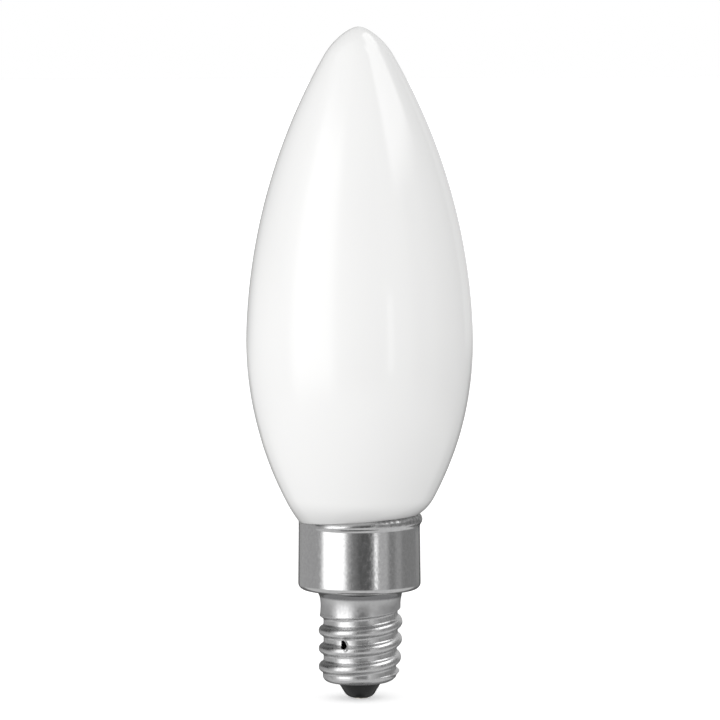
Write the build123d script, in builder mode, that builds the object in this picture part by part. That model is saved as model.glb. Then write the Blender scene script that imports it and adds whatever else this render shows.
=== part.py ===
from build123d import *

import os
from math import acos, asin, atan2, cos, degrees, radians, sin, sqrt, tan

os.makedirs("parts", exist_ok=True)

# Candle bulb with a small screw cap. Millimetres, +Z along the axis towards the glass tip.
# The origin is the middle of the centre contact's face, the lowest point of the bulb.

# Glass envelope, from the tip down: a blunt point, a long side arc, a belly arc, a shoulder and the neck
tip_height = 94.15
tip_start_height = 90.2
tip_pull = 2.6
tip_flat = 1.2
side_arc_radius = 82.8
belly_arc_radius = 47.65
belly_top_angle = 2.33
widest_radius = 15.85
widest_height = 50.3
shoulder_step = 2.27
shoulder_arc_radius = 6.0
glass_end_chamfer = 1.5

# Cement gaps between the glass and the cap: under its neck, round its neck and at the bead's lip
glass_end_gap = 2.25
glass_clearance = 0.15
rim_clearance = 0.03

# Screw cap, one piece of drawn sheet: bead, skirt, shoulder corner and neck
sheet = 0.25
skirt_radius = 8.6
skirt_corner_radius = 1.1
neck_radius = 5.65
neck_fillet_radius = 0.8
neck_length = 3.39
neck_band = 1.5
bead_section_radius = 0.9
bead_stand_out = 0.35
bead_lip_angle = 60.0

# Rolled thread, right handed; over its upper turns the barrel narrows to the neck's band
pitch = 2.54
crest_radius = 5.9
root_radius = 5.22
crest_rounding = 0.45
crest_land = 0.25
flank_angle = 45.0
groove_start_height = 1.95
groove_turns = 4
narrowing_length = 4.0
cutter_margin = 0.4

# The groove's run-out, which climbs as a cone until it has left the neck, short of the fillet
runout_end_gap = 0.3
runout_rise = 0.08

# Inner side of the sheet behind the crests, from so many turns above the groove's start
inner_thread_start_turn = 1.5
inner_thread_turns = 2
bore_margin = 0.15
bore_flare_length = 1.8

# Cap end: a taper, a rounded edge and an inward floor round the insulator
end_floor_height = 2.35
end_rounding = 0.75
end_radius = 5.2
end_taper_height = 4.0
insulator_hole_radius = 3.15

# Hole punched through the thread
punch_angle = 244.0
punch_height = 8.2
punch_width = 0.75
punch_length = 1.1

# Insulator: a blunt cone below the cap's floor and a flange above it
insulator_clearance = 0.03
nose_height = 0.1
nose_radius = 1.79
nose_rounding = 0.5
flange_radius = 4.2
flange_thickness = 1.2

# Centre contact, a headed pin through the insulator
contact_clearance = 0.02
head_radius = 1.0
head_thickness = 0.45
pin_radius = 0.6
pin_end_height = 4.4


def polar(centre, radius, angle):
    """The point of a circle at an angle in degrees."""
    x, y = centre
    return (x + radius * cos(radians(angle)), y + radius * sin(radians(angle)))


def flats(centre, radius, start_angle, end_angle):
    """Corners of three flats round a bend, each of them tangent to the bend's circle."""
    quarter = (end_angle - start_angle) / 4
    reach = radius / cos(radians(quarter))
    return [polar(centre, reach, start_angle + quarter), polar(centre, reach, end_angle - quarter)]


def upright(height):
    """The XZ plane with its origin on the axis at a height."""
    return Plane(origin=(0, 0, height), x_dir=(1, 0, 0), z_dir=(0, -1, 0))


def shoulder_circle():
    """Centre of the glass's shoulder arc, tangent to the belly arc, and the angle where the two meet."""
    angle = -degrees(acos((glass_neck_radius + shoulder_step - belly_centre[0]) / belly_arc_radius))
    return polar(belly_centre, belly_arc_radius - shoulder_arc_radius, angle), angle


def glass_outline():
    """Half section of the envelope, closed along the axis."""
    glass_end_height = skirt_floor_height + sheet + glass_end_gap
    side_centre = polar(belly_centre, belly_arc_radius - side_arc_radius, belly_top_angle)
    side_top_angle = degrees(asin((tip_start_height - side_centre[1]) / side_arc_radius))
    shoulder_centre, shoulder_angle = shoulder_circle()
    neck_angle = -degrees(acos((glass_neck_radius - shoulder_centre[0]) / shoulder_arc_radius))
    side_top = polar(side_centre, side_arc_radius, side_top_angle)

    CenterArc(shoulder_centre, shoulder_arc_radius, neck_angle, shoulder_angle - neck_angle)
    CenterArc(belly_centre, belly_arc_radius, shoulder_angle, belly_top_angle - shoulder_angle)
    CenterArc(side_centre, side_arc_radius, belly_top_angle, side_top_angle - belly_top_angle)
    Bezier(
        side_top,
        polar(side_top, tip_pull, side_top_angle + 90),
        (tip_flat, tip_height),
        (0, tip_height),
    )
    Polyline(
        (0, tip_height),
        (0, glass_end_height),
        (glass_neck_radius - glass_end_chamfer, glass_end_height),
        (glass_neck_radius, glass_end_height + glass_end_chamfer),
        polar(shoulder_centre, shoulder_arc_radius, neck_angle),
    )


# Heights and places that the glass and the cap share
groove_end_height = groove_start_height + groove_turns * pitch
skirt_floor_height = groove_end_height + neck_length
neck_top_height = skirt_floor_height - neck_fillet_radius
glass_neck_radius = skirt_radius - sheet - glass_clearance
belly_centre = (widest_radius - belly_arc_radius, widest_height)

with BuildPart() as glass_bulb:
    with BuildSketch(Plane.XZ):
        with BuildLine():
            glass_outline()
        make_face()
    revolve(axis=Axis.Z)

glass_bulb.part.label = "glass_bulb"
export_step(glass_bulb.part, "parts/glass_bulb.step")


def barrel_outline():
    """Half section of the plain barrel before its thread is rolled, from the end floor to the neck."""
    edge_centre = (end_radius - end_rounding, end_floor_height + end_rounding)
    bore_radius = root_radius - sheet
    neck_start_height = skirt_floor_height - neck_band

    CenterArc(edge_centre, end_rounding, 270, 90)
    Polyline(
        (end_radius, edge_centre[1]),
        (crest_radius, end_taper_height),
        (crest_radius, neck_start_height - narrowing_length),
        (neck_radius, neck_start_height),
        (neck_radius, neck_top_height),
        (neck_radius - sheet, neck_top_height),
        (bore_radius, neck_top_height - bore_flare_length),
        (bore_radius, end_taper_height),
        (end_radius - sheet, edge_centre[1]),
        *flats(edge_centre, end_rounding - sheet, 0, -90),
        (edge_centre[0], end_floor_height + sheet),
        (insulator_hole_radius, end_floor_height + sheet),
        (insulator_hole_radius, end_floor_height),
        (edge_centre[0], end_floor_height),
    )


def crest_geometry():
    """A crest's rounding in the groove's section: centre, meeting with the flank, half angle of its land."""
    land_angle = degrees(asin(crest_land / 2 / crest_rounding))
    centre = (crest_radius - crest_rounding * cos(radians(land_angle)), pitch / 2)
    return centre, polar(centre, crest_rounding, -flank_angle), land_angle


def groove_outline():
    """Section of the rolled groove: floor, flanks, crest roundings and a way out past the crests."""
    centre, flank_top, land_angle = crest_geometry()
    floor_half = flank_top[1] - (flank_top[0] - root_radius) / tan(radians(flank_angle))
    side = (pitch - crest_land) / 2
    out = crest_radius + cutter_margin

    Polyline((root_radius, 0), (root_radius, floor_half), flank_top)
    CenterArc(centre, crest_rounding, -flank_angle, flank_angle - land_angle)
    Polyline((crest_radius, side), (out, side), (out, 0))
    mirror(about=Plane.XZ)


def ridge_outline():
    """Section of the hollow behind a crest, its flanks one sheet inward of the groove's flanks."""
    _, flank_top, _ = crest_geometry()
    slope = 1 / tan(radians(flank_angle))
    shift = sheet / sin(radians(flank_angle))
    base_radius = root_radius - sheet - bore_margin
    top_radius = crest_radius - sheet
    top_half = pitch / 2 - flank_top[1] + (flank_top[0] - top_radius) * slope - shift
    base_half = top_half + (top_radius - base_radius) * slope

    Polyline((base_radius, 0), (base_radius, base_half), (top_radius, top_half), (top_radius, 0))
    mirror(about=Plane.XZ)


def bead_place():
    """Centre of the bead's section, whose lip clears the glass's shoulder arc by the rim clearance."""
    radius = skirt_radius + bead_stand_out - bead_section_radius
    lip = polar((radius, 0), bead_section_radius, bead_lip_angle)
    shoulder_centre, _ = shoulder_circle()
    reach = shoulder_arc_radius + rim_clearance
    drop = sqrt(reach**2 - (lip[0] - shoulder_centre[0]) ** 2)
    return (radius, shoulder_centre[1] - drop - lip[1])


def skirt_outline():
    """Half section of the sheet from the neck fillet over the corner and the skirt to the bead's lip."""
    neck_centre = (neck_radius + neck_fillet_radius, neck_top_height)
    corner_centre = (skirt_radius - skirt_corner_radius, skirt_floor_height + skirt_corner_radius)
    bead_centre = bead_place()
    bead_inner_radius = bead_section_radius - sheet
    outer_angle = degrees(acos((skirt_radius - bead_centre[0]) / bead_section_radius))
    inner_angle = degrees(acos((skirt_radius - sheet - bead_centre[0]) / bead_inner_radius))

    CenterArc(neck_centre, neck_fillet_radius, 180, -90)
    Line((neck_centre[0], skirt_floor_height), (corner_centre[0], skirt_floor_height))
    CenterArc(corner_centre, skirt_corner_radius, 270, 90)
    Line((skirt_radius, corner_centre[1]), polar(bead_centre, bead_section_radius, -outer_angle))
    CenterArc(bead_centre, bead_section_radius, -outer_angle, outer_angle + bead_lip_angle)
    Polyline(
        polar(bead_centre, bead_section_radius, bead_lip_angle),
        polar(bead_centre, bead_inner_radius, bead_lip_angle),
        *flats(bead_centre, bead_inner_radius, bead_lip_angle, -inner_angle),
        polar(bead_centre, bead_inner_radius, -inner_angle),
        (skirt_radius - sheet, corner_centre[1]),
        *flats(corner_centre, skirt_corner_radius - sheet, 0, -90),
        (corner_centre[0], skirt_floor_height + sheet),
        (neck_centre[0], skirt_floor_height + sheet),
        *flats(neck_centre, neck_fillet_radius + sheet, 90, 180),
        (neck_radius - sheet, neck_centre[1]),
        (neck_radius, neck_centre[1]),
    )


runout_height = neck_top_height - runout_end_gap - groove_end_height
runout_gain = neck_radius + runout_rise - root_radius
inner_thread_start_height = groove_start_height + inner_thread_start_turn * pitch

with BuildPart() as screw_cap:
    # The plain barrel
    with BuildSketch(Plane.XZ):
        with BuildLine():
            barrel_outline()
        make_face()
    revolve(axis=Axis.Z)

    # The groove at full depth
    with BuildLine() as groove_path:
        Helix(
            pitch,
            groove_turns * pitch,
            root_radius,
            center=(0, 0, groove_start_height),
        )
    with BuildSketch(upright(groove_start_height)):
        with BuildLine():
            groove_outline()
        make_face()
    sweep(path=groove_path.line, is_frenet=True, mode=Mode.SUBTRACT)

    # Its run-out
    with BuildLine() as runout_path:
        Helix(
            pitch,
            runout_height,
            root_radius,
            center=(0, 0, groove_end_height),
            cone_angle=degrees(atan2(runout_gain, runout_height)),
        )
    with BuildSketch(upright(groove_end_height)):
        with BuildLine():
            groove_outline()
        make_face()
    sweep(path=runout_path.line, is_frenet=True, mode=Mode.SUBTRACT)

    # The inner side behind the crests
    with BuildLine() as ridge_path:
        Helix(
            pitch,
            inner_thread_turns * pitch,
            root_radius,
            center=(0, 0, inner_thread_start_height),
        )
    with BuildSketch(upright(inner_thread_start_height)):
        with BuildLine():
            ridge_outline()
        make_face()
    sweep(path=ridge_path.line, is_frenet=True, mode=Mode.SUBTRACT)

    # Neck fillet, shoulder, skirt and bead
    with BuildSketch(Plane.XZ):
        with BuildLine():
            skirt_outline()
        make_face()
    revolve(axis=Axis.Z)

    # The punched hole
    punch_plane = Plane(
        origin=(0, 0, punch_height),
        x_dir=(0, 0, 1),
        z_dir=(cos(radians(punch_angle)), sin(radians(punch_angle)), 0),
    )
    with BuildSketch(punch_plane):
        SlotOverall(punch_length, punch_width)
    extrude(amount=crest_radius + cutter_margin, mode=Mode.SUBTRACT)

screw_cap.part.label = "screw_cap"
export_step(screw_cap.part, "parts/screw_cap.step")


def insulator_outline():
    """Half section of the insulator: its nose, its throat in the cap's floor, its flange and its bore."""
    throat_radius = insulator_hole_radius - insulator_clearance
    seat_height = end_floor_height + sheet
    top_height = seat_height + flange_thickness
    head_bore = head_radius + contact_clearance
    pin_bore = pin_radius + contact_clearance
    cone_angle = degrees(atan2(end_floor_height - nose_height, throat_radius - nose_radius))
    cone_start = polar((nose_radius, nose_height), nose_rounding, cone_angle)

    Polyline(
        (head_bore, head_thickness),
        (head_bore, nose_height),
        (nose_radius - nose_rounding, nose_height),
        cone_start,
        (throat_radius, end_floor_height),
        (throat_radius, seat_height),
        (flange_radius, seat_height),
        (flange_radius, top_height),
        (pin_bore, top_height),
        (pin_bore, head_thickness),
        close=True,
    )


with BuildPart() as insulator:
    with BuildSketch(Plane.XZ):
        with BuildLine():
            insulator_outline()
        make_face()
    revolve(axis=Axis.Z)

insulator.part.label = "insulator"
export_step(insulator.part, "parts/insulator.step")


with BuildPart() as centre_contact:
    with BuildSketch(Plane.XZ):
        with BuildLine():
            Polyline(
                (0, 0),
                (head_radius, 0),
                (head_radius, head_thickness),
                (pin_radius, head_thickness),
                (pin_radius, pin_end_height),
                (0, pin_end_height),
                close=True,
            )
        make_face()
    revolve(axis=Axis.Z)

centre_contact.part.label = "centre_contact"
export_step(centre_contact.part, "parts/centre_contact.step")
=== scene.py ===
import bpy
import bmesh
from math import acos, asin, atan2, cos, degrees, exp, pi, radians, sin, sqrt
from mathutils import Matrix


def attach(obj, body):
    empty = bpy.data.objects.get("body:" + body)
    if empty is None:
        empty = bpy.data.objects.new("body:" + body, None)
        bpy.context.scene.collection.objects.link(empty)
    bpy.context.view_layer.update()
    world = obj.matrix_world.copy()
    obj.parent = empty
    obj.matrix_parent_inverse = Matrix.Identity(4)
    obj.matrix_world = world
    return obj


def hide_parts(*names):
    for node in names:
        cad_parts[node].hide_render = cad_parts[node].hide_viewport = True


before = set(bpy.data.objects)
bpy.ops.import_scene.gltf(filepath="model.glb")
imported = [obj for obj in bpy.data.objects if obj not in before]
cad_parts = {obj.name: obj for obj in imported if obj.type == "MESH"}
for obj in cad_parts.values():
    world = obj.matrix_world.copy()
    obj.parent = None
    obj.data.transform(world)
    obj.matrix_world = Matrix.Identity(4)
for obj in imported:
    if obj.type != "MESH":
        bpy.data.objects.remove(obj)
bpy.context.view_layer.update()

MM = 0.001
ON_AXIS = 1e-6

# Sizes are in millimetres and angles in degrees, as in the part's source. Left and right are the camera's.
# Glass envelope
TIP_HEIGHT = 94.15
TIP_START = 90.2
TIP_PULL = 2.6
TIP_FLAT = 1.2
SIDE_ARC = 82.8
BELLY_ARC = 47.65
BELLY_TOP = 2.33
WIDEST_RADIUS = 15.845
WIDEST_HEIGHT = 50.3
SHOULDER_STEP = 2.27
SHOULDER_ARC = 6.0
GLASS_NECK = 8.2
GLASS_NECK_TOP = 22.5
GLASS_END = 18.0
GLASS_END_CORNER = 1.5
GLASS_COLUMNS = 192

# Skirt and bead of the screw cap, with the distances of the lip's cut edge from the middle of the bead's
# section, and the depths below that middle to which the sheet's inner side is drawn
SKIRT_RADIUS = 8.6
SKIRT_FLOOR = 15.5
SKIRT_CORNER = 0.85
BEAD_HEIGHT = 25.283
BEAD_SECTION = 0.9
BEAD_OUT = 0.35
BEAD_FILLET = 0.9
BEAD_TOP = 26.06
BEAD_LIP = 60.0
LIP_EDGE = (0.80, 0.65)
SKIRT_INSIDE = (0.6, 2.0)
SHEET = 0.25

# Thread
PITCH = 2.54
CREST = 5.9
ROOT = 5.22
ROOT_FLAT = 0.4
ROOT_ROUNDING = 0.45
THREAD_EDGE = 0.02
GROOVE_START = 1.95
GROOVE_TURNS = 4.0
RUNOUT_HEIGHT = 1.5
RUNOUT_GAIN = 0.51

# Neck between the thread and the skirt
NECK_WAIST = 13.2
NECK_RADIUS = 5.62
NECK_SWEEP = 5.0
NECK_FOOT_SWEEP = 10.0
NECK_FILLET = 0.9
NECK_FILLET_START = 18.5

# Lower end, turned in round the insulator
END_FLOOR = 2.35
END_ROUNDING = 0.92
END_RADIUS = 5.2
END_TAPER = 4.0
HOLE_RADIUS = 3.15
HOLE_EDGE = 0.04
CAP_COLUMNS = 180

# Hole punched in the thread, a slanted teardrop with a burr on its right. The zone is the stretch of the cap
# with closer columns, and the empty share is the part of the teardrop in which no point is kept
PUNCH_ANGLE = 243.2
PUNCH_HEIGHT = 8.15
PUNCH_REACH = 0.56
PUNCH_SIDE = 0.42
PUNCH_LEAST_SIDE = 0.1
PUNCH_TAPER = 0.13
PUNCH_SLANT = 0.28
PUNCH_POWER = 3
PUNCH_EMPTY = 0.85
PUNCH_WALL = 0.35
ZONE_ANGLE = 10.0
ZONE_GAP = 1.0
ZONE_STEPS = 20
ZONE_HEIGHT = 1.2
BURR = 0.10
BURR_SHARE = 1.25
BURR_WIDTH = 0.25
BURR_START = 0.3

# The real cap isn't a true round. Its mouth sags to the left, with the glass on it, and its bead dies
# away there
MOUTH_SAG = 1.06
SAG_FOCUS = 1.5
SAG_START = 28.3
BEAD_FADE_START = 0.3
BEAD_FADE = 0.45

# Its skirt, with the glass in it, and its end sit a little to the left, and the skirt narrows to the mouth
LEAN = 0.14
LEAN_START = 14.4
LEAN_RISE = 1.2
LEAN_END = 38.0
LEAN_FALL = 11.0
SKIRT_TAPER = 0.09
SKIRT_TAPER_RUN = 7.5
END_SHIFT = 0.15
END_SHIFT_TOP = 4.5
END_SHIFT_FADE = 1.5

# It is pressed in low down on the right, and more at its end
PRESSED = 0.25
PRESSED_FOCUS = 1.5
PRESSED_TOP = 9.6
PRESSED_FADE = 4.5
PRESSED_FOOT = 2.6
PRESSED_RISE = 2.0
END_PRESSED = 0.38
END_PRESSED_TOP = 3.05
END_PRESSED_FADE = 0.6

# Its thread is rolled a little out of square, lower at the front
THREAD_TILT = 0.33
TILT_TOP = 14.0
TILT_FADE = 3.8

# Insulator
NOSE_HEIGHT = 0.1
NOSE_RADIUS = 1.79
NOSE_ROUNDING = 0.75
NOSE_HANDLE = 0.35
NOSE_CUT = 0.12
NOSE_CUT_TOP = 1.2
NOSE_CUT_FADE = 1.1
THROAT = 3.12
PLUG_RADIUS = 4.2
PLUG_TOP = 3.8
HEAD_BORE = 1.02
HEAD_SEAT = 0.45
SHANK_BORE = 0.62
BORE_EDGE = 0.05
BORE_MARGIN = 0.1
PLUG_COLUMNS = 128

# Colours: of the clean surface as a darker and a lighter one, and of the places that differ, some of them
# painted shade
OPAL = ((0.895, 0.895, 0.89), (0.915, 0.915, 0.91))
# Painted shade on the glass where it goes down into the cap
OPAL_SHADE_AT_CAP = (0.71, 0.71, 0.705)
NICKEL = ((0.54, 0.54, 0.545), (0.70, 0.70, 0.70))
# Painted shade in the fillet under the skirt
NICKEL_FILLET_SHADE = (0.24, 0.24, 0.245)
# Grime, and painted shade under the glass's overhang, at the mouth's right
NICKEL_GRIME_AND_SHADE = (0.30, 0.30, 0.30)
BLACK = ((0.010, 0.010, 0.010), (0.016, 0.016, 0.016))
CONTACT = ((0.45, 0.42, 0.36), (0.66, 0.62, 0.54))
FLOOR_GREY = (0.88, 0.88, 0.88, 1)
WHITE = (1, 1, 1, 1)

# Where a place begins and where it is at its full: heights, and for the grime and painted shade at the mouth
# also a distance to the right
# Painted shade on the glass by the cap
OPAL_SHADE_AT_CAP_FROM = (28.8, 25.2)
# Painted shade in the fillet under the skirt
FILLET_SHADE_FROM_BELOW = (14.25, 14.65)
FILLET_SHADE_FROM_ABOVE = (15.65, 15.45)
# Grime and painted shade under the glass's overhang at the mouth's right
GRIME_AND_SHADE_HEIGHT = (24.8, 25.2)
GRIME_AND_SHADE_ACROSS = (0.8, 3.4)
GRIME_AND_SHADE_RANGE = (0.3, 1.3)
ROLLED_FROM = (15.0, 14.2)
POLISHED_FROM = (12.6, 12.0)

# Roughness of the clean nickel, and what is added to it where it is rolled, polished or grimy
NICKEL_ROUGHNESS = (0.06, 0.24)
ROLLED_ROUGHNESS = 0.24
POLISHED_ROUGHNESS = -0.08
GRIME_ROUGHNESS = 0.42
NOISE_RANGE = (0.3, 0.7)

# Floor, lamp and camera, in metres
FLOOR_SIZE = 8.0
FLOOR_PLACE = (0, 2.5, -0.00002)
FLOOR_GLOW = 0.40
KEY_SIZE = (0.5, 0.3)
KEY_ENERGY = 1.12
KEY_PLACE = (-0.33, -0.62, 0.11)
KEY_TILT = 86
KEY_TURN = -28
CAMERA_PLACE = (0.00021, -0.6, 0.09479)
CAMERA_DOWN = 4.4935
CAMERA_ROLL = 0.2
CAMERA_LENS = 215.15
CAMERA_SENSOR = 36
CAMERA_NEAR = 0.01

# The room, as it lights the object evenly and as glass and metal mirror it: a ground level, and over it
# patches of (brightness, azimuths, elevations, softness), each over the last. Azimuth is 0 towards the camera
# and grows to its right, and a patch has no edge where its range reaches FAR
FAR = 400
ALL_ROUND = (-FAR, FAR)
EVEN_GROUND = 0.62
EVEN_PATCHES = [
    (1.00, (-130, -30), (-75, -10), 30),
    (1.07, ALL_ROUND, (-5, 95), 40),
    (0.62, ALL_ROUND, (50, 95), 30),
]
MIRRORED_GROUND = 0.46
MIRRORED_PATCHES = [
    # Walls and ceiling
    (0.28, (52, 200), ALL_ROUND, 20),
    (0.40, (72, 87), ALL_ROUND, 8),
    (0.56, (36, 56), ALL_ROUND, 8),
    (0.24, (-16, 24), ALL_ROUND, 12),
    (0.13, (-4, 22), ALL_ROUND, 12),
    (0.60, (135, FAR), (-5, 91), 6),
    (0.40, ALL_ROUND, (35, 95), 20),
    (0.07, (-FAR, -88), (4, 95), 14),
    (0.18, (-FAR, -140), (-5, 91), 6),
    # Table
    (0.70, (-135, 135), (-70, -18), 12),
    (0.16, ALL_ROUND, (-95, -72), 12),
    (0.20, (135, FAR), (-95, -18), 12),
    (0.20, (-FAR, -135), (-95, -18), 12),
    (0.10, (155, FAR), (-30, -6), 4),
    (0.10, (-FAR, -155), (-30, -6), 4),
    # Lamps
    (1.50, (28.5, 35), (-12, 8), 4),
    (2.60, (48, 102), (29, 72), 12),
    (2.60, (96, 150), (46, 75), 10),
    (0.55, (-100, -25), (38, 80), 14),
    (2.10, (-73, -27), (-17, 41), 17),
]


def arc(centre, radius, start, end, count):
    """Points of an arc, angles in degrees, both ends included."""
    step = (end - start) / (count - 1)
    return [
        (
            centre[0] + radius * cos(radians(start + step * i)),
            centre[1] + radius * sin(radians(start + step * i)),
        )
        for i in range(count)
    ]


def bezier(points, count):
    """Points of a cubic curve, both ends included."""
    a, b, c, d = points
    out = []
    for i in range(count):
        t = i / (count - 1)
        s = 1 - t
        out.append(tuple(
            s ** 3 * a[k] + 3 * s * s * t * b[k] + 3 * s * t * t * c[k] + t ** 3 * d[k] for k in (0, 1)
        ))
    return out


def line(start, end, count):
    """Points of a straight run without its first point."""
    return [
        (
            start[0] + (end[0] - start[0]) * i / count,
            start[1] + (end[1] - start[1]) * i / count,
        )
        for i in range(1, count + 1)
    ]


def clamp(value):
    """A value kept between 0 and 1."""
    return max(0.0, min(1.0, value))


def rising(value, start, run):
    """From 0 at the start to 1 a run further up."""
    return clamp((value - start) / run)


def falling(value, end, run):
    """From 1 a run below the end to 0 at the end."""
    return clamp((end - value) / run)


def lean(z):
    """How far the skirt and the glass in it sit to the left at a height."""
    return LEAN * rising(z, LEAN_START, LEAN_RISE) * falling(z, LEAN_END, LEAN_FALL)


def sag(angle):
    """How far the mouth's edge sits lower at an angle: none at the right, most at the left."""
    return MOUTH_SAG * ((1 - cos(angle)) / 2) ** SAG_FOCUS


def smooth(mesh):
    """Shade every face of a mesh smooth."""
    for polygon in mesh.polygons:
        polygon.use_smooth = True


def new_object(name, vertices, faces, body="root"):
    """A smooth shaded mesh in the row frame, given in millimetres."""
    mesh = bpy.data.meshes.new(name)
    mesh.from_pydata([((x - lean(z)) * MM, y * MM, z * MM) for x, y, z in vertices], [], faces)
    mesh.validate()
    smooth(mesh)
    obj = bpy.data.objects.new(name, mesh)
    bpy.context.scene.collection.objects.link(obj)
    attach(obj, body)
    return obj


def revolved(name, profile, columns, bend):
    """A surface of revolution whose profile runs bottom to top as (radius, height); bend moves its points."""
    vertices, rings = [], []
    for r, z in profile:
        if r < ON_AXIS:
            rings.append([len(vertices)])
            vertices.append((0, 0, z))
            continue
        rings.append(list(range(len(vertices), len(vertices) + columns)))
        for i in range(columns):
            a = 2 * pi * i / columns
            radius, height = bend(r, z, a)
            vertices.append((radius * cos(a), radius * sin(a), height))
    faces = []
    for low, high in zip(rings, rings[1:]):
        for i in range(columns):
            j = (i + 1) % columns
            if len(low) == 1:
                faces.append((low[0], high[j], high[i]))
            elif len(high) == 1:
                faces.append((low[i], low[j], high[0]))
            else:
                faces.append((low[i], low[j], high[j], high[i]))
    return new_object(name, vertices, faces)


# The glass: neck, shoulder, belly and side as arcs that meet without a corner, and a curved tip
belly_centre = (WIDEST_RADIUS - BELLY_ARC, WIDEST_HEIGHT)
side_centre = (
    belly_centre[0] + (BELLY_ARC - SIDE_ARC) * cos(radians(BELLY_TOP)),
    belly_centre[1] + (BELLY_ARC - SIDE_ARC) * sin(radians(BELLY_TOP)),
)
side_top_angle = degrees(asin((TIP_START - side_centre[1]) / SIDE_ARC))
shoulder_angle = -degrees(acos((GLASS_NECK + SHOULDER_STEP - belly_centre[0]) / BELLY_ARC))
shoulder_centre = (
    belly_centre[0] + (BELLY_ARC - SHOULDER_ARC) * cos(radians(shoulder_angle)),
    belly_centre[1] + (BELLY_ARC - SHOULDER_ARC) * sin(radians(shoulder_angle)),
)
neck_angle = -degrees(acos((GLASS_NECK - shoulder_centre[0]) / SHOULDER_ARC))
side_top = (
    side_centre[0] + SIDE_ARC * cos(radians(side_top_angle)),
    side_centre[1] + SIDE_ARC * sin(radians(side_top_angle)),
)
tip_handle = (
    side_top[0] - TIP_PULL * sin(radians(side_top_angle)),
    side_top[1] + TIP_PULL * cos(radians(side_top_angle)),
)
glass_profile = (
    [(0, GLASS_END), (GLASS_NECK - GLASS_END_CORNER, GLASS_END)]
    + [(GLASS_NECK, GLASS_END + GLASS_END_CORNER), (GLASS_NECK, GLASS_NECK_TOP)]
    + arc(shoulder_centre, SHOULDER_ARC, neck_angle, shoulder_angle, 20)
    + arc(belly_centre, BELLY_ARC, shoulder_angle, BELLY_TOP, 48)[1:]
    + arc(side_centre, SIDE_ARC, BELLY_TOP, side_top_angle, 60)[1:]
    + bezier([side_top, tip_handle, (TIP_FLAT, TIP_HEIGHT), (0, TIP_HEIGHT)], 24)[1:]
)


def glass_bend(r, z, angle):
    """The glass's lower end goes down with the mouth."""
    return r, z - sag(angle) * falling(z, SAG_START, SAG_START - BEAD_TOP) ** 2


glass = revolved("glass_envelope", glass_profile, GLASS_COLUMNS, glass_bend)
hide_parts("glass_bulb")


# The screw cap is one outline, from the insulator's hole round to the bead's lip, with the thread pressed
# into it. Across the thread, a flat floor, a hollow arc and the crest's arc meet without a corner
half_arcs = (PITCH - ROOT_FLAT) / 2
flank = 2 * atan2(CREST - ROOT, half_arcs)
crest_rounding = half_arcs / sin(flank) - ROOT_ROUNDING


def thread_radius(z, angle):
    """Radius of the rolled thread at a height and an angle, or None above its run-out."""
    turn = angle / (2 * pi)
    along = turn + round((z - GROOVE_START) / PITCH - turn)
    climbed = max(0.0, along - GROOVE_TURNS) * PITCH
    if climbed > RUNOUT_HEIGHT:
        return None
    u = abs(z - GROOVE_START - PITCH * along)
    if u < ROOT_FLAT / 2 + ROOT_ROUNDING * sin(flank):
        r = ROOT + ROOT_ROUNDING - sqrt(ROOT_ROUNDING ** 2 - max(0.0, u - ROOT_FLAT / 2) ** 2)
    else:
        r = CREST - crest_rounding + sqrt(crest_rounding ** 2 - (PITCH / 2 - u) ** 2)
    return r + RUNOUT_GAIN * climbed / RUNOUT_HEIGHT


def soft_min(a, b, width):
    """The lesser of two radii with a rounded meeting."""
    return (a + b - sqrt((a - b) ** 2 + width * width)) / 2


def waist(z):
    """Radius of the neck, a hollow sweep that is tighter above its waist than below."""
    return NECK_RADIUS + (z - NECK_WAIST) ** 2 / (2 * (NECK_SWEEP if z > NECK_WAIST else NECK_FOOT_SWEEP))


edge_centre = (END_RADIUS - END_ROUNDING, END_FLOOR + END_ROUNDING)
foot_height = NECK_WAIST - sqrt(2 * NECK_FOOT_SWEEP * (CREST - NECK_RADIUS))
fillet_height = SKIRT_FLOOR - NECK_FILLET + NECK_FILLET * sin(radians(NECK_FILLET_START))
neck_centre = (
    waist(fillet_height) + NECK_FILLET * cos(radians(NECK_FILLET_START)),
    SKIRT_FLOOR - NECK_FILLET,
)
corner_centre = (SKIRT_RADIUS - SKIRT_CORNER, SKIRT_FLOOR + SKIRT_CORNER)
bead_centre = (SKIRT_RADIUS + BEAD_OUT - BEAD_SECTION, BEAD_HEIGHT)
bead_angle = degrees(acos((SKIRT_RADIUS + BEAD_FILLET - bead_centre[0]) / (BEAD_SECTION + BEAD_FILLET)))
bead_foot = BEAD_HEIGHT - (BEAD_SECTION + BEAD_FILLET) * sin(radians(bead_angle))
lip = radians(BEAD_LIP)
outline = [
    (HOLE_RADIUS, END_FLOOR + SHEET),
    (HOLE_RADIUS, END_FLOOR + HOLE_EDGE),
    (HOLE_RADIUS + HOLE_EDGE, END_FLOOR),
]
outline += line((HOLE_RADIUS + HOLE_EDGE, END_FLOOR), (edge_centre[0], END_FLOOR), 3)
outline += arc(edge_centre, END_ROUNDING, -90, 0, 12)[1:]
outline += line((END_RADIUS, edge_centre[1]), (CREST, END_TAPER), 14)
outline += line((CREST, END_TAPER), (CREST, foot_height), 105)
outline += [(waist(z), z) for _, z in line((0, foot_height), (0, fillet_height), 62)]
outline += arc(neck_centre, NECK_FILLET, 180 - NECK_FILLET_START, 90, 12)[1:]
outline += arc(corner_centre, SKIRT_CORNER, -90, 0, 16)
outline += line((SKIRT_RADIUS, corner_centre[1]), (SKIRT_RADIUS, bead_foot), 12)
outline += arc((SKIRT_RADIUS + BEAD_FILLET, bead_foot), BEAD_FILLET, 180, 180 - bead_angle, 8)[1:]
outline += arc(bead_centre, BEAD_SECTION, -bead_angle, BEAD_LIP, 22)[1:]
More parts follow.
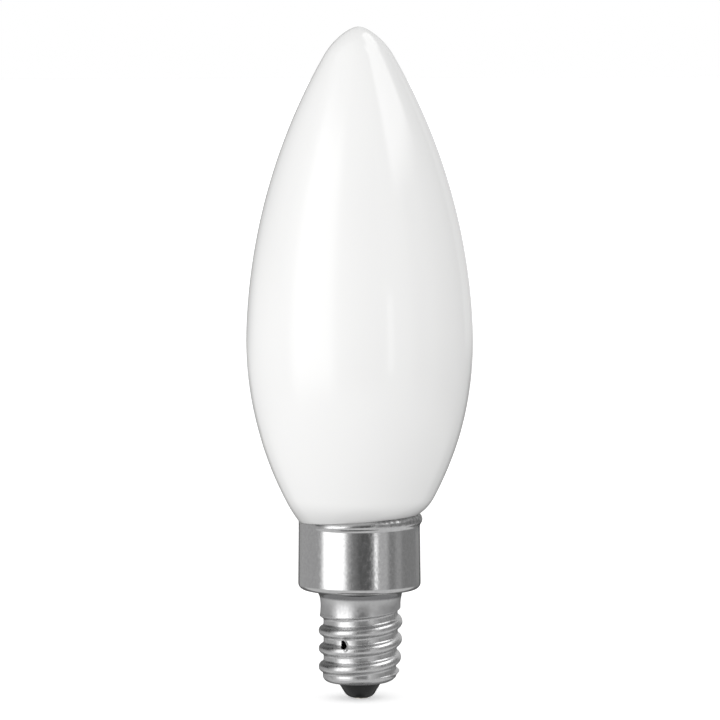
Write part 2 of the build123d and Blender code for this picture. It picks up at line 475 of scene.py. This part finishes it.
outline += [(bead_centre[0] + reach * cos(lip), BEAD_HEIGHT + reach * sin(lip)) for reach in LIP_EDGE]
outline += [(SKIRT_RADIUS - SHEET, BEAD_HEIGHT - depth) for depth in SKIRT_INSIDE]

punch = radians(PUNCH_ANGLE)
zone = radians(ZONE_ANGLE)
angles = [2 * pi * i / CAP_COLUMNS for i in range(CAP_COLUMNS)]
angles = [a for a in angles if abs(a - punch) > zone + radians(ZONE_GAP)]
angles += [punch + zone * i / ZONE_STEPS for i in range(-ZONE_STEPS, ZONE_STEPS + 1)]
angles.sort()


def punched(angle, z, r):
    """Place across and up from the hole's middle, and the distance as a share of its teardrop's edge."""
    up = z - PUNCH_HEIGHT
    across = (angle - punch) * r + PUNCH_SLANT * up
    side = max(PUNCH_LEAST_SIDE, PUNCH_SIDE - PUNCH_TAPER * up)
    spread = abs(across / side) ** PUNCH_POWER + abs(up / PUNCH_REACH) ** PUNCH_POWER
    return across, up, spread ** (1 / PUNCH_POWER)


def cap_point(r_plain, z, a):
    """A point of the cap's outer surface, and whether it lies inside the punched hole."""
    r, angle, height, inside = r_plain, a, z, False
    if edge_centre[1] < z < fillet_height:
        rolled = thread_radius(z - THREAD_TILT * sin(a) * falling(z, TILT_TOP, TILT_FADE), a)
        if rolled is not None:
            r = soft_min(r_plain, rolled, THREAD_EDGE)
    pressed = falling(z, PRESSED_TOP, PRESSED_FADE) * rising(z, PRESSED_FOOT, PRESSED_RISE)
    at_end = falling(z, END_PRESSED_TOP, END_PRESSED_FADE)
    r -= (PRESSED * pressed + END_PRESSED * at_end) * ((1 + cos(a)) / 2) ** PRESSED_FOCUS
    r -= END_SHIFT * cos(a) * falling(z, END_SHIFT_TOP, END_SHIFT_FADE)
    if abs(a - punch) <= zone and abs(z - PUNCH_HEIGHT) < ZONE_HEIGHT:
        across, up, share = punched(a, z, r)
        if share > 1:
            r += BURR * exp(-((share - BURR_SHARE) / BURR_WIDTH) ** 2) * clamp(across / BURR_START)
        elif share < PUNCH_EMPTY:
            inside = True
        else:
            angle = punch + (across / share - PUNCH_SLANT * up / share) / r
            height = PUNCH_HEIGHT + up / share
    r -= SKIRT_TAPER * rising(z, corner_centre[1], SKIRT_TAPER_RUN)
    if z > bead_foot:
        height = z - sag(a) * rising(z, bead_foot, BEAD_TOP - bead_foot)
        if r_plain > SKIRT_RADIUS:
            r -= (r_plain - SKIRT_RADIUS) * rising(-cos(a), BEAD_FADE_START, BEAD_FADE)
    return (r * cos(angle), r * sin(angle), height), inside


points = [[cap_point(r, z, a) for a in angles] for r, z in outline]
columns = len(angles)
vertices = [place for ring in points for place, _ in ring]
inside = [hidden for ring in points for _, hidden in ring]
faces = []
for i in range(len(outline) - 1):
    for j in range(columns):
        k = (j + 1) % columns
        ring = (i * columns + j, i * columns + k, (i + 1) * columns + k, (i + 1) * columns + j)
        if not any(inside[v] for v in ring):
            faces.append(ring)
cap = new_object("cap_shell", vertices, faces)

# The sheet's thickness round the punched hole
edit = bmesh.new()
edit.from_mesh(cap.data)
loose = [v for v in edit.verts if not v.link_faces]
bmesh.ops.delete(edit, geom=loose, context="VERTS")
rim = [
    e for e in edit.edges
    if e.is_boundary and all(abs(v.co.z / MM - PUNCH_HEIGHT) < ZONE_HEIGHT for v in e.verts)
]
pulled = {}
for e in rim:
    for v in e.verts:
        if v not in pulled:
            pulled[v] = edit.verts.new(v.co)
            pulled[v].co.xy *= 1 - PUNCH_WALL * MM / v.co.xy.length
    b = e.link_loops[0].vert
    a = e.other_vert(b)
    edit.faces.new((a, b, pulled[b], pulled[a]))
bmesh.ops.recalc_face_normals(edit, faces=edit.faces)
edit.to_mesh(cap.data)
edit.free()
smooth(cap.data)
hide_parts("screw_cap")

# The insulator: a cone with a rounded nose, the throat that the cap's end holds, and the plug inside the cap
cone_angle = atan2(END_FLOOR - NOSE_HEIGHT, THROAT - NOSE_RADIUS)
nose_handle = NOSE_HANDLE * NOSE_ROUNDING


def up_the_cone(reach):
    """The point of the cone at a distance from the corner that its nose would have."""
    return NOSE_RADIUS + reach * cos(cone_angle), NOSE_HEIGHT + reach * sin(cone_angle)


insulator_profile = (
    [(HEAD_BORE, HEAD_SEAT), (HEAD_BORE, NOSE_HEIGHT + BORE_EDGE), (HEAD_BORE + BORE_EDGE, NOSE_HEIGHT)]
    + bezier(
        [
            (NOSE_RADIUS - NOSE_ROUNDING, NOSE_HEIGHT),
            (NOSE_RADIUS - nose_handle, NOSE_HEIGHT),
            up_the_cone(nose_handle),
            up_the_cone(NOSE_ROUNDING),
        ],
        14,
    )
    + [(THROAT, END_FLOOR), (THROAT, END_FLOOR + SHEET), (PLUG_RADIUS, END_FLOOR + SHEET)]
    + [(PLUG_RADIUS, PLUG_TOP), (SHANK_BORE, PLUG_TOP), (SHANK_BORE, HEAD_SEAT), (HEAD_BORE, HEAD_SEAT)]
)


def nose_bend(r, z, angle):
    """The outside follows the cap's end, and the nose is rounder on its left."""
    if r < HEAD_BORE + BORE_MARGIN:
        return r, z
    cut = NOSE_CUT * clamp(-cos(angle)) * falling(z, NOSE_CUT_TOP, NOSE_CUT_FADE)
    return r - END_SHIFT * cos(angle) - cut, z


plug = revolved("insulator_plug", insulator_profile, PLUG_COLUMNS, nose_bend)
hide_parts("insulator")


def new_material(name):
    """A material with its node tree and its shader."""
    material = bpy.data.materials.new(name)
    material.use_nodes = True
    return material, material.node_tree, material.node_tree.nodes["Principled BSDF"]


def coordinates(tree, kind):
    """Coordinates of a kind, such as the object's own in metres."""
    return tree.nodes.new("ShaderNodeTexCoord").outputs[kind]


def feed(tree, value, socket):
    """Give an input a number, or link an output to it."""
    if isinstance(value, (int, float)):
        socket.default_value = value
    else:
        tree.links.new(value, socket)


def separated(tree, vector):
    """The three parts of a vector."""
    node = tree.nodes.new("ShaderNodeSeparateXYZ")
    tree.links.new(vector, node.inputs["Vector"])
    return node.outputs


def noise(tree, place, scale, detail, stretch=(1, 1, 1)):
    """Noise over the object, in grains per metre."""
    mapping = tree.nodes.new("ShaderNodeMapping")
    mapping.inputs["Scale"].default_value = stretch
    node = tree.nodes.new("ShaderNodeTexNoise")
    node.inputs["Scale"].default_value = scale
    node.inputs["Detail"].default_value = detail
    tree.links.new(place, mapping.inputs["Vector"])
    tree.links.new(mapping.outputs["Vector"], node.inputs["Vector"])
    return node.outputs["Fac"]


def to_range(tree, value, low, high):
    """Noise stretched from the range that it mostly keeps to another."""
    node = tree.nodes.new("ShaderNodeMapRange")
    node.inputs["From Min"].default_value, node.inputs["From Max"].default_value = NOISE_RANGE
    node.inputs["To Min"].default_value = low
    node.inputs["To Max"].default_value = high
    tree.links.new(value, node.inputs["Value"])
    return node.outputs["Result"]


def bumped(tree, shader, value, strength, distance):
    """Bumps in the shader's surface, their height in metres."""
    node = tree.nodes.new("ShaderNodeBump")
    node.inputs["Strength"].default_value = strength
    node.inputs["Distance"].default_value = distance
    tree.links.new(value, node.inputs["Height"])
    tree.links.new(node.outputs["Normal"], shader.inputs["Normal"])


def operate(tree, operation, *values):
    """The result of a math node on numbers or outputs."""
    node = tree.nodes.new("ShaderNodeMath")
    node.operation = operation
    for value, socket in zip(values, node.inputs):
        feed(tree, value, socket)
    return node.outputs[0]


def ramp(tree, value, start, end):
    """Smooth step from 0 at one place in millimetres to 1 at another, above or below it."""
    node = tree.nodes.new("ShaderNodeMapRange")
    node.interpolation_type = "SMOOTHSTEP"
    node.inputs["From Min"].default_value = min(start, end) * MM
    node.inputs["From Max"].default_value = max(start, end) * MM
    tree.links.new(value, node.inputs["Value"])
    return node.outputs["Result"] if start < end else operate(tree, "SUBTRACT", 1.0, node.outputs["Result"])


def mixed(tree, value, low, high):
    """A colour between two, each a colour or an output."""
    node = tree.nodes.new("ShaderNodeMix")
    node.data_type = "RGBA"
    tree.links.new(value, node.inputs["Factor"])
    for name, colour in (("A", low), ("B", high)):
        socket = next(s for s in node.inputs if s.name == name and s.type == "RGBA")
        if isinstance(colour, tuple):
            socket.default_value = (*colour, 1)
        else:
            tree.links.new(colour, socket)
    return next(s for s in node.outputs if s.type == "RGBA")


# Opal glass, with painted shade where it goes down into the cap
opal, tree, shader = new_material("opal_glass")
place = coordinates(tree, "Object")
clean = mixed(tree, noise(tree, place, scale=60, detail=4), *OPAL)
# Painted shade low on the glass, next to the cap
shade_at_cap = ramp(tree, separated(tree, place)["Z"], *OPAL_SHADE_AT_CAP_FROM)
rough = to_range(tree, noise(tree, place, scale=220, detail=3), low=0.05, high=0.09)
tree.links.new(mixed(tree, shade_at_cap, clean, OPAL_SHADE_AT_CAP), shader.inputs["Base Color"])
tree.links.new(rough, shader.inputs["Roughness"])
bumped(tree, shader, noise(tree, place, scale=90, detail=2), strength=0.05, distance=0.0002)
shader.inputs["IOR"].default_value = 1.5
glass.data.materials.append(opal)

# Nickel plate, blotched and worn, with painted shade in the fillet under the skirt, and grime with painted
# shade under the glass's overhang at the mouth's right
nickel, tree, shader = new_material("nickel_plate")
place = coordinates(tree, "Object")
across, _, height = separated(tree, place)
clean = mixed(tree, noise(tree, place, scale=2400, detail=5), *NICKEL)
# Painted shade in the fillet under the skirt
fillet_shade = operate(
    tree, "MULTIPLY", ramp(tree, height, *FILLET_SHADE_FROM_BELOW), ramp(tree, height, *FILLET_SHADE_FROM_ABOVE)
)
# Grime mottled with painted shade under the glass's overhang, at the mouth's right
grime_and_shade = operate(tree, "MULTIPLY", ramp(tree, across, *GRIME_AND_SHADE_ACROSS), ramp(tree, height, *GRIME_AND_SHADE_HEIGHT))
grime_and_shade = operate(
    tree, "MULTIPLY", grime_and_shade, to_range(tree, noise(tree, place, scale=1800, detail=3), *GRIME_AND_SHADE_RANGE)
)
colour = mixed(tree, grime_and_shade, mixed(tree, fillet_shade, clean, NICKEL_FILLET_SHADE), NICKEL_GRIME_AND_SHADE)
rough = to_range(tree, noise(tree, place, scale=3000, detail=4, stretch=(1, 1, 0.6)), *NICKEL_ROUGHNESS)
for spot, added in (
    (ramp(tree, height, *ROLLED_FROM), ROLLED_ROUGHNESS),
    (ramp(tree, height, *POLISHED_FROM), POLISHED_ROUGHNESS),
    (grime_and_shade, GRIME_ROUGHNESS),
):
    rough = operate(tree, "ADD", rough, operate(tree, "MULTIPLY", spot, added))
shader.inputs["Metallic"].default_value = 1.0
tree.links.new(colour, shader.inputs["Base Color"])
tree.links.new(rough, shader.inputs["Roughness"])
bumped(tree, shader, noise(tree, place, scale=1700, detail=6), strength=0.2, distance=0.00004)
cap.data.materials.append(nickel)

# Glossy black insulator
black, tree, shader = new_material("black_insulator")
place = coordinates(tree, "Object")
clean = mixed(tree, noise(tree, place, scale=500, detail=4), *BLACK)
rough = to_range(tree, noise(tree, place, scale=900, detail=3), low=0.18, high=0.30)
shader.inputs["Specular IOR Level"].default_value = 0.3
tree.links.new(clean, shader.inputs["Base Color"])
tree.links.new(rough, shader.inputs["Roughness"])
bumped(tree, shader, noise(tree, place, scale=1500, detail=3), strength=0.1, distance=0.00003)
plug.data.materials.append(black)

# Tinned contact
tin, tree, shader = new_material("contact_metal")
place = coordinates(tree, "Object")
clean = mixed(tree, noise(tree, place, scale=800, detail=5), *CONTACT)
rough = to_range(tree, noise(tree, place, scale=1500, detail=4), low=0.25, high=0.45)
shader.inputs["Metallic"].default_value = 1.0
tree.links.new(clean, shader.inputs["Base Color"])
tree.links.new(rough, shader.inputs["Roughness"])
bumped(tree, shader, noise(tree, place, scale=1800, detail=3), strength=0.2, distance=0.00004)
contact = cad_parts["centre_contact"]
contact.data.materials.clear()
contact.data.materials.append(tin)

# Floor, which glows for the camera only, so that it is nearly white and keeps the shadow
bpy.ops.mesh.primitive_plane_add(size=FLOOR_SIZE, location=FLOOR_PLACE)
ground = bpy.context.object
ground.name = "floor"
ground.visible_glossy = False
ground.visible_diffuse = False
pale, tree, shader = new_material("pale_floor")
shader.inputs["Base Color"].default_value = FLOOR_GREY
shader.inputs["Roughness"].default_value = 0.9
shader.inputs["Emission Color"].default_value = WHITE
rays = tree.nodes.new("ShaderNodeLightPath")
seen = operate(tree, "MULTIPLY", rays.outputs["Is Camera Ray"], FLOOR_GLOW)
tree.links.new(seen, shader.inputs["Emission Strength"])
ground.data.materials.append(pale)

# Room, by direction from the object
world = bpy.data.worlds.new("studio")
bpy.context.scene.world = world
world.use_nodes = True
tree = world.node_tree
tree.nodes.clear()
x, y, z = separated(tree, coordinates(tree, "Generated"))
azimuth = operate(tree, "DEGREES", operate(tree, "ARCTAN2", x, operate(tree, "MULTIPLY", y, -1.0)))
elevation = operate(tree, "DEGREES", operate(tree, "ARCSINE", z))


def window(value, span, soft):
    """One inside a range of degrees, falling to zero over a soft edge at each end."""
    edges = []
    for middle in span:
        step = tree.nodes.new("ShaderNodeMapRange")
        step.interpolation_type = "SMOOTHSTEP"
        step.inputs["From Min"].default_value = middle - soft / 2
        step.inputs["From Max"].default_value = middle + soft / 2
        tree.links.new(value, step.inputs["Value"])
        edges.append(step.outputs["Result"])
    return operate(tree, "SUBTRACT", *edges)


def room(level, patches):
    """Brightness by direction: the ground level with each patch laid over it in turn."""
    for brightness, azimuths, elevations, soft in patches:
        spans = [s for s in ((azimuth, azimuths), (elevation, elevations)) if s[1] != ALL_ROUND]
        masks = [window(value, span, soft) for value, span in spans]
        mask = masks[0] if len(masks) == 1 else operate(tree, "MULTIPLY", *masks)
        rest = operate(tree, "MULTIPLY", level, operate(tree, "SUBTRACT", 1.0, mask))
        level = operate(tree, "ADD", rest, operate(tree, "MULTIPLY", mask, brightness))
    return level


def background(strength):
    """A white background, its strength a number or an output."""
    node = tree.nodes.new("ShaderNodeBackground")
    node.inputs["Color"].default_value = WHITE
    feed(tree, strength, node.inputs["Strength"])
    return node.outputs["Background"]


def by_ray(kind, others, these):
    """One background for a kind of ray and another for the others."""
    node = tree.nodes.new("ShaderNodeMixShader")
    tree.links.new(rays.outputs[kind], node.inputs["Fac"])
    tree.links.new(others, node.inputs[1])
    tree.links.new(these, node.inputs[2])
    return node.outputs["Shader"]


# Mirrored in glass and metal, even for the light that falls on them, and white behind them
rays = tree.nodes.new("ShaderNodeLightPath")
mirrored = background(room(MIRRORED_GROUND, MIRRORED_PATCHES))
even = background(room(EVEN_GROUND, EVEN_PATCHES))
surroundings = by_ray("Is Camera Ray", by_ray("Is Glossy Ray", even, mirrored), background(1.0))
output = tree.nodes.new("ShaderNodeOutputWorld")
tree.links.new(surroundings, output.inputs["Surface"])

# Soft key light from the left
key_data = bpy.data.lights.new("key", "AREA")
key_data.shape = "RECTANGLE"
key_data.size, key_data.size_y = KEY_SIZE
key_data.energy = KEY_ENERGY
key = bpy.data.objects.new("key", key_data)
key.location = KEY_PLACE
key.rotation_euler = (radians(KEY_TILT), 0, radians(KEY_TURN))
key.visible_glossy = False
bpy.context.scene.collection.objects.link(key)

# Camera
camera_data = bpy.data.cameras.new("camera")
camera_data.sensor_width = CAMERA_SENSOR
camera_data.lens = CAMERA_LENS
camera_data.clip_start = CAMERA_NEAR
camera = bpy.data.objects.new("camera", camera_data)
camera.location = CAMERA_PLACE
camera.rotation_euler = (radians(90 - CAMERA_DOWN), radians(CAMERA_ROLL), 0)
bpy.context.scene.collection.objects.link(camera)
bpy.context.scene.camera = camera
bpy.context.scene.view_settings.view_transform = "Standard"
